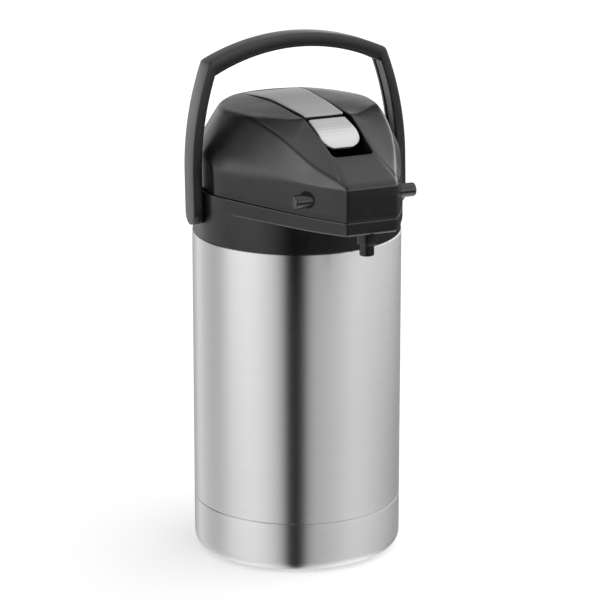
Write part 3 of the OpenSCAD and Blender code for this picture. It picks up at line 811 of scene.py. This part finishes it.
# chrome tip: its upper line, and its half width, from the arm down to the finger edge
TIP_LINE = [
    (0, -57.6, 60.7), (0.2, -65.2, 58.7), (0.42, -73.5, 56.3), (0.6, -79.6, 53.5), (0.76, -84.2, 50.3),
    (0.9, -87.4, 47.0), (1.0, -88.9, 44.6),
]
TIP_X = [
    (0, 15.4), (0.25, 15.9), (0.55, 16.2), (0.72, 15.9), (0.82, 14.7), (0.9, 12.8), (0.96, 10.2),
    (1.0, 7.6),
]
TIP_RIBS = 10


def tip_centre(t):
    y = spline([(k[0], k[1]) for k in TIP_LINE], t)
    z = spline([(k[0], k[2]) for k in TIP_LINE], t)
    return Vector((0, y, LID_Z + z))


def tip_ring(t, inset=0.0):
    """Section across the tip, square to its line; the upper face is finely ribbed."""
    centre = tip_centre(t)
    along = (tip_centre(min(1, t + 0.01)) - tip_centre(max(0, t - 0.01))).normalized()
    up = Vector((0, -along.z, along.y)) * (1 if along.y < 0 else -1)
    up = up if up.z > 0 else -up
    half = spline(TIP_X, t) - inset
    phase = t * TIP_RIBS
    in_ribs = smooth_step(0.05, 0.12, t) * (1 - smooth_step(0.86, 0.93, t))
    rib = -0.1 * in_ribs * (0.5 + 0.5 * math.cos(2 * math.pi * phase))
    thick = 3.4 - inset
    right = [
        (0, rib), (half * 0.4, rib), (half * 0.75, rib - 0.05), (half - 1.4, rib - 0.15),
        (half - 0.8, -0.25 + rib * 0.4),
        (half - 0.25, -0.6), (half, -1.1), (half, -2.2), (half - 0.4, -thick + 0.3), (half - 1.0, -thick),
        (half * 0.5, -thick),
    ]
    ring = [centre + Vector((x, 0, 0)) + up * (z - inset) for x, z in right]
    return ring + [Vector((-p.x, p.y, p.z)) for p in ring[:0:-1]]


def build_tip():
    steps = TIP_RIBS * 12
    rings = [tip_ring(0, 0.5)]
    rings += [tip_ring(lerp(0.004, 0.985, k / steps)) for k in range(steps + 1)]
    rings += [tip_ring(0.997, 0.45), tip_ring(1, 1.0)]
    finish_piece(loft("lever_chrome_tip", rings, "cap", angle=30), "lever_chrome", "lever", "lever_tip")
    tongue = [(-64, 53.8), (-44, 54.1), (-44, 56.6), (-59.4, 56.1), (-62, 57.2)]
    tongue = [(y, LID_Z + z) for y, z in tongue]
    finish_piece(extrude_x("lever_tip_tongue", tongue, -13, 13, 0.4), "dark_moulding", "lever")


# ---- handle ----

LEAN = math.radians(-2.5)
STRAP = 7.6
STRAP_DEPTH = 19.0
ARM_OUT = bail_high.x
ARM_R = 241.6
ARM_STRAIGHT = 30.5
BAR_R = 170.0
BAR_TOP = 134.5
ARM_INNER_R = ARM_R - STRAP
BAR_INNER_R = BAR_R - STRAP * 1.15       # the bar is slightly thicker than the arms


def meeting(arm_r, bar_r):
    """Angles at which the arm's arc and the bar's arc cross: on the arm's circle and on the bar's."""
    low, high = 0.0, 0.6
    for _ in range(50):
        a = (low + high) / 2
        x, z = ARM_OUT - ARM_R + arm_r * math.cos(a), ARM_STRAIGHT + arm_r * math.sin(a)
        if math.hypot(x, z - (BAR_TOP - BAR_R)) < bar_r:
            low = a
        else:
            high = a
    return low, math.atan2(x, z - (BAR_TOP - BAR_R))


def bail_stations():
    """Outer point, inner point and half depth along one half of the handle, pivot end first."""
    stations = []
    half_depth = STRAP_DEPTH / 2
    for k in range(13):
        a = math.radians(lerp(8, 90, k / 12))
        z, d = -half_depth * math.cos(a), half_depth * math.sin(a)
        stations.append((Vector((ARM_OUT, 0, z)), Vector((ARM_OUT - STRAP, 0, z)), d))
    for k in range(1, 7):
        z = ARM_STRAIGHT * k / 7
        stations.append((Vector((ARM_OUT, 0, z)), Vector((ARM_OUT - STRAP, 0, z)), half_depth))
    outer_arm, outer_bar = meeting(ARM_R, BAR_R)
    inner_arm, inner_bar = meeting(ARM_INNER_R, BAR_INNER_R)

    def on_arm(radius, a):
        return Vector((ARM_OUT - ARM_R + radius * math.cos(a), 0, ARM_STRAIGHT + radius * math.sin(a)))

    def on_bar(radius, a):
        return Vector((radius * math.sin(a), 0, BAR_TOP - BAR_R + radius * math.cos(a)))

    for k in range(25):
        t = k / 24 * 0.975
        stations.append((on_arm(ARM_R, outer_arm * t), on_arm(ARM_INNER_R, inner_arm * t), half_depth))
    before = stations[-1]
    corner = (on_arm(ARM_R, outer_arm), on_arm(ARM_INNER_R, inner_arm))
    after = (on_bar(BAR_R, outer_bar * 0.975), on_bar(BAR_INNER_R, inner_bar * 0.975))
    for k in range(1, 5):
        t = k / 4
        outer = bezier(before[0], corner[0], after[0], t)
        inner = bezier(before[1], corner[1], after[1], t)
        stations.append((outer, inner, half_depth))
    for k in range(1, 31):
        t = 0.975 * (1 - k / 30)
        stations.append((on_bar(BAR_R, outer_bar * t), on_bar(BAR_INNER_R, inner_bar * t), half_depth))
    return stations


def bail_section(outer, inner, half_depth):
    """Section of the strap: bevelled outer edges and a shallow channel along its inner face."""
    d = half_depth
    soft = min(1.1, 0.5 * d)
    reach = (outer - inner).length
    corners = [
        (reach, -d), (reach, d), (0, d), (0, d * 0.62), (0.9, d * 0.55), (0.9, -d * 0.55), (0, -d * 0.62),
        (0, -d),
    ]
    radii = [soft, soft, soft * 0.7, 0.3, 0.3, 0.3, 0.3, soft * 0.7]
    flat = rounded([Vector((s, y)) for s, y in corners], radii, 4)
    along = (outer - inner).normalized()
    return [inner + along * p.x + Vector((0, p.y, 0)) for p in flat]


def grip_section(upper, lower):
    """Section of the rib: as deep as the strap at its top, rounded off below."""
    half = STRAP_DEPTH / 2 - 0.9
    reach = (upper - lower).length
    corners = [Vector((reach, -half)), Vector((reach, half)), Vector((0, half)), Vector((0, -half))]
    flat = rounded(corners, [0.1, 0.1, 2.2, 2.2], 6)
    along = (upper - lower).normalized()
    return [lower + along * p.x + Vector((0, p.y, 0)) for p in flat]


def stand_handle(p):
    """From the handle's own frame, its pivot at the origin, to the leaning handle."""
    c, s = math.cos(LEAN), math.sin(LEAN)
    return Vector((p.x, p.y * c - p.z * s, PIVOT_Z + p.y * s + p.z * c))


def both_sides(stations):
    half = list(stations)
    return half + [(Vector((-o.x, o.y, o.z)), Vector((-i.x, i.y, i.z)), d) for o, i, d in half[-2::-1]]


def build_handle():
    rings = [[stand_handle(p) for p in bail_section(*s)] for s in both_sides(bail_stations())]
    finish_piece(loft("handle_strap", rings, "cap", angle=38), "black_moulding", "handle", "handle_bail")
    # rib along the underside of the bar, between the arms
    top_angle = meeting(ARM_INNER_R, BAR_INNER_R)[1]
    rings = []
    for k in range(61):
        t = lerp(-1, 1, k / 60)
        depth = lerp(2.3, 3.0, t * t)
        low_angle = meeting(ARM_INNER_R, BAR_INNER_R - depth)[1]
        ends = []
        for radius, angle in ((BAR_INNER_R - 0.02, top_angle), (BAR_INNER_R - depth, low_angle)):
            a = angle * t * 0.994
            ends.append(Vector((radius * math.sin(a), 0, BAR_TOP - BAR_R + radius * math.cos(a))))
        rings.append([stand_handle(p) for p in grip_section(*ends)])
    finish_piece(loft("handle_grip_rib", rings, "cap", angle=50), "dark_moulding", "handle", "handle_grip")


# ---- nozzle and release pins ----

# painted shade round the release pins: dark rings, nearly flush with the lid's band, where a recess would be
# in shade
BORE_SHADE_R = 6.7
BORE_SHADE_UP = 0.9                            # painted shade: the dark ring round the pin is wider above the pin than below
BOSS_BORE_R = 5.62
SPOUT_BORE_R = 3.6


def build_nozzle():
    centre = (0, NOZZLE_Y, 0)
    top = underside_z(NOZZLE_Y) + 1.5
    cone = outline(
        [(BOSS_BORE_R, cone_low.z), (8.0, cone_low.z), (8.8, top), (BOSS_BORE_R, top)],
        [0.3, 0.6, 0.1, 0.1],
    )
    finish_piece(lathe("nozzle_boss", cone, centre, segments=72), "black_moulding", "body", "nozzle_cone")
    r = tube_high.x
    z0, z1 = tube_low.z, tube_high.z
    tube = outline([(SPOUT_BORE_R, z0), (r, z0), (r, z1), (SPOUT_BORE_R, z1)], [0.5, 0.7, 0.2, 0.2])
    finish_piece(lathe("nozzle_spout", tube, centre, segments=72), "black_moulding", "body", "nozzle_tube")


def pin_axis():
    """Place along Y, height and radius of the release pins."""
    return (pin_low.y + pin_high.y) / 2, (pin_low.z + pin_high.z) / 2, (pin_high.z - pin_low.z) / 2


def band_x(y, z):
    """Half width of the lid's upright band at a place beside the nose."""
    points = []
    for i, p in enumerate(half_plan(COLLAR_R)[:ARC_START]):
        low, band = lid_section(i, p)[:2]
        points.append(low.lerp(band, (z - low.z) / (band.z - low.z)))
    a, b = next((a, b) for a, b in zip(points, points[1:]) if a.y <= y < b.y)
    return lerp(a.x, b.x, (y - a.y) / (b.y - a.y))


def build_bore_shade():
    """Painted shade round the release pins: flush deep-black rings in the lid's band that stand in for the
    shade of a recess.
    """
    y, z, r = pin_axis()
    bore, proud, depth = r + 0.12, 0.04, -1.5
    corners = [(bore, 0, proud), (BORE_SHADE_R, BORE_SHADE_UP, proud), (BORE_SHADE_R, BORE_SHADE_UP, depth), (bore, 0, depth)]
    rings = []
    for radius, up, out in corners:
        ring = []
        for k in range(72):
            a = 2 * math.pi * k / 72
            place = (y + radius * math.cos(a), z + up + radius * math.sin(a))
            ring.append(Vector((band_x(*place) + out, *place)))
        rings.append(ring)
    # dark rings of painted shade, flush with the band, round each pin
    finish_piece(loft("release_bore_shade_right", rings, "join"), "well_black", "lid")
    rings = [[Vector((-p.x, p.y, p.z)) for p in ring] for ring in rings]
    finish_piece(loft("release_bore_shade_left", rings, "join"), "well_black", "lid")


def build_release_pins():
    y, z, r = pin_axis()
    x0, x1 = pin_low.x, pin_high.x
    button = outline([(0.05, x0), (r, x0), (r, x1), (0.05, x1)], [0, 0.5, 1.5, 0], 7)
    right = lathe("release_button_right", button, (0, y, z), "X", 64)
    finish_piece(right, "black_moulding", "release_right", "release_pin_right")
    mirror = [(radius, -h) for radius, h in button]
    left = lathe("release_button_left", mirror, (0, y, z), "X", 64)
    finish_piece(left, "black_moulding", "release_left", "release_pin_left")


# ---- soft pump parts and springs, which follow their joints ----


def helix(name, radius, wire, length, turns, place):
    steps = 20 * turns
    rings = []
    for i in range(steps + 1):
        a = 2 * math.pi * i / 20
        ring = []
        for j in range(10):
            b = 2 * math.pi * j / 10
            w = radius + wire * math.cos(b)
            height = wire + (length - 2 * wire) * i / steps + wire * math.sin(b)
            ring.append(place(w * math.cos(a), w * math.sin(a), height))
        rings.append(ring)
    return loft(name, rings, "cap", angle=60)


def build_pump():
    low, high = cad_box("bellows")
    radius, folds, skin = high.x, 6, 0.9
    corners = []
    for k in range(folds):
        corners.append((radius - 9, lerp(low.z, high.z, k / folds)))
        corners.append((radius - 0.2, lerp(low.z, high.z, (k + 0.5) / folds)))
    corners += [(radius - 9, high.z)]
    inside = [(r - skin, z) for r, z in corners[::-1]]
    profile = outline(corners + inside, 0.9, 3)
    bellows = finish_piece(lathe("pump_bellows", profile, segments=96), "bellows_rubber", "lid", "bellows")
    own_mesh(bellows)
    low, high = cad_box("return_spring")
    spring = helix("pump_spring", 22, 0.9, high.z - low.z, 5, lambda x, y, h: Vector((x, y, low.z + h)))
    finish_piece(spring, "spring_steel", "lid", "return_spring")
    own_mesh(spring)
    for side, tag in ((-1, "left"), (1, "right")):
        low, high = cad_box("latch_spring_" + tag)
        y, z = (low.y + high.y) / 2, (low.z + high.z) / 2
        root = low.x if side > 0 else high.x
        length = high.x - low.x

        def place(a, b, h):
            return Vector((root + side * h, y + a, z + b))

        coil = helix("latch_coil_" + tag, 3.2, 0.5, length, 6, place)
        finish_piece(coil, "spring_steel", "lid", "latch_spring_" + tag)
        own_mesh(coil)


build_body()
build_collar()
build_hinge()
build_lid()
build_well()
build_lever()
build_tip()
build_handle()
build_nozzle()
build_bore_shade()
build_release_pins()
build_pump()


# ---- studio ----

CAMERA_AZIMUTH = math.radians(-23.63)
CAMERA_ELEVATION = math.radians(16.52)
CAMERA_DISTANCE = 2.5
TARGET = Vector((0, 0, 0.2001))
LENS = 188.94
SHIFT_X = 0.0053
FLOOR_HALF = 6.0
FLOOR_GLOW = 0.27


def build_floor():
    mesh = bpy.data.meshes.new("studio_floor")
    corners = [(x * FLOOR_HALF, y * FLOOR_HALF, 0) for x, y in ((-1, -1), (1, -1), (1, 1), (-1, 1))]
    mesh.from_pydata(corners, [], [(0, 1, 2, 3)])
    floor = bpy.data.objects.new("studio_floor", mesh)
    bpy.context.scene.collection.objects.link(floor)
    material, shader = new_material("pale_floor", (0.96, 0.96, 0.96), 0.9, specular=0.1)
    shader.inputs["Emission Color"].default_value = (1, 1, 1, 1)
    shader.inputs["Emission Strength"].default_value = FLOOR_GLOW
    mesh.materials.append(material)
    floor.visible_glossy = False


def build_camera():
    back = Vector((
        math.sin(CAMERA_AZIMUTH) * math.cos(CAMERA_ELEVATION),
        -math.cos(CAMERA_AZIMUTH) * math.cos(CAMERA_ELEVATION),
        math.sin(CAMERA_ELEVATION),
    ))
    data = bpy.data.cameras.new("camera")
    data.sensor_width = 36
    data.lens = LENS
    data.shift_x = SHIFT_X
    data.clip_end = 50
    camera = bpy.data.objects.new("camera", data)
    camera.location = TARGET + back * CAMERA_DISTANCE
    camera.rotation_euler = (-back).to_track_quat("-Z", "Y").to_euler()
    bpy.context.scene.collection.objects.link(camera)
    bpy.context.scene.camera = camera


BRIGHTEST = 2.5                          # top of the brightness curves

# brightness of the studio by direction round the object (degrees from the camera's side, to the
# right), below the horizon and above it
AROUND_LOW = [
    (-180, 0.72), (-150, 0.76), (-136, 1.15), (-122, 0.78), (-105, 0.73), (-86, 0.64), (-66, 0.75),
    (-52, 0.86), (-38, 0.82), (-25, 0.74), (-17, 0.56), (-12.5, 0.2), (-9.5, 0.0), (0, 0.0), (4, 0.03),
    (8, 0.1), (11, 0.45), (16, 0.74), (35, 0.92), (50, 1.07), (64, 1.45), (74, 1.52), (84, 1.5),
    (108, 1.6), (121, 1.62), (128, 1.45), (148, 1.1), (156, 1.15), (180, 0.9),
]
AROUND_HIGH = [
    (-180, 0.24), (-140, 0.3), (-124, 0.25), (-108, 0.11), (-100, 0.13), (-92, 0.36), (-84, 0.86),
    (-74, 1.22), (-60, 1.2), (-30, 0.7), (-14, 0.2), (-9, 0.0), (4, 0.0), (10, 0.2), (20, 0.7),
    (50, 0.9), (70, 1.1), (112, 1.1), (145, 1.2), (158, 0.88), (168, 0.35), (180, 0.24),
]
# and by elevation, on the left side and on the right
LEFT_SIDE = [
    (-90, 1.2), (-74, 2.4), (-56, 2.3), (-44, 1.2), (-34, 1.2), (-20, 0.82), (-6, 1.2), (2, 2.0),
    (8, 2.5), (12, 2.45), (18, 2.1), (24, 1.0), (34, 0.6), (45, 0.55), (60, 0.9), (90, 1.25),
]
RIGHT_SIDE = [
    (-90, 1.0), (-48, 1.25), (-34, 0.5), (-24, 0.07), (-8, 0.08), (-3, 1.1), (4, 2.0), (20, 1.7),
    (32, 0.9), (45, 1.2), (60, 1.15), (90, 1.1),
]


def build_light():
    world = bpy.data.worlds.new("studio")
    bpy.context.scene.world = world
    world.use_nodes = True
    nodes, links = world.node_tree.nodes, world.node_tree.links
    background = nodes["Background"]

    def math_node(operation, *values):
        node = nodes.new("ShaderNodeMath")
        node.operation = operation
        for socket, value in zip(node.inputs, values):
            if isinstance(value, (int, float)):
                socket.default_value = value
            else:
                links.new(value, socket)
        return node.outputs[0]

    def along(direction):
        node = nodes.new("ShaderNodeVectorMath")
        node.operation = "DOT_PRODUCT"
        links.new(coordinates.outputs["Generated"], node.inputs[0])
        node.inputs[1].default_value = direction
        return node.outputs["Value"]

    def curve(value, knots, low, high):
        """Brightness through the knots, as a float curve over the range low to high."""
        node = nodes.new("ShaderNodeFloatCurve")
        ranged = math_node("DIVIDE", math_node("SUBTRACT", value, low), high - low)
        links.new(ranged, node.inputs["Value"])
        mapped = node.mapping.curves[0]
        ends = [((x - low) / (high - low), y / BRIGHTEST) for x, y in knots]
        mapped.points[0].location = ends[0]
        mapped.points[1].location = ends[-1]
        for x, y in ends[1:-1]:
            mapped.points.new(x, y)
        for point in mapped.points:
            point.handle_type = "VECTOR"
        node.mapping.update()
        return math_node("MULTIPLY", node.outputs["Value"], BRIGHTEST)

    def smooth_share(value, low, high):
        """0 below low, 1 above high and smooth between them."""
        node = nodes.new("ShaderNodeMapRange")
        node.interpolation_type = "SMOOTHSTEP"
        node.inputs["From Min"].default_value = low
        node.inputs["From Max"].default_value = high
        links.new(value, node.inputs["Value"])
        return node.outputs["Result"]

    def mix(a, b, share):
        """a where the share is 0, b where it is 1."""
        rest = math_node("SUBTRACT", 1.0, share)
        return math_node("ADD", math_node("MULTIPLY", a, rest), math_node("MULTIPLY", b, share))

    coordinates = nodes.new("ShaderNodeTexCoord")
    to_camera = along((math.sin(CAMERA_AZIMUTH), -math.cos(CAMERA_AZIMUTH), 0))
    to_right = along((math.cos(CAMERA_AZIMUTH), math.sin(CAMERA_AZIMUTH), 0))
    upward = along((0, 0, 1))
    turn = math_node("DEGREES", math_node("ARCTAN2", to_right, to_camera))
    height = math_node("DEGREES", math_node("ARCSINE", upward))
    above = smooth_share(height, -4, 8)
    around = mix(curve(turn, AROUND_LOW, -180, 180), curve(turn, AROUND_HIGH, -180, 180), above)
    left = curve(height, LEFT_SIDE, -90, 90)
    right = curve(height, RIGHT_SIDE, -90, 90)
    by_height = mix(left, right, smooth_share(to_right, -0.75, 0.25))
    # overhead, the light no longer depends on the direction round the object
    ringed = mix(around, 1.0, smooth_share(height, 42, 72))
    links.new(math_node("MULTIPLY", ringed, by_height), background.inputs["Strength"])
    background.inputs["Color"].default_value = (1, 1, 1, 1)


build_floor()
build_camera()
build_light()
bpy.context.scene.view_settings.view_transform = "Standard"
bpy.context.scene.view_settings.look = "None"
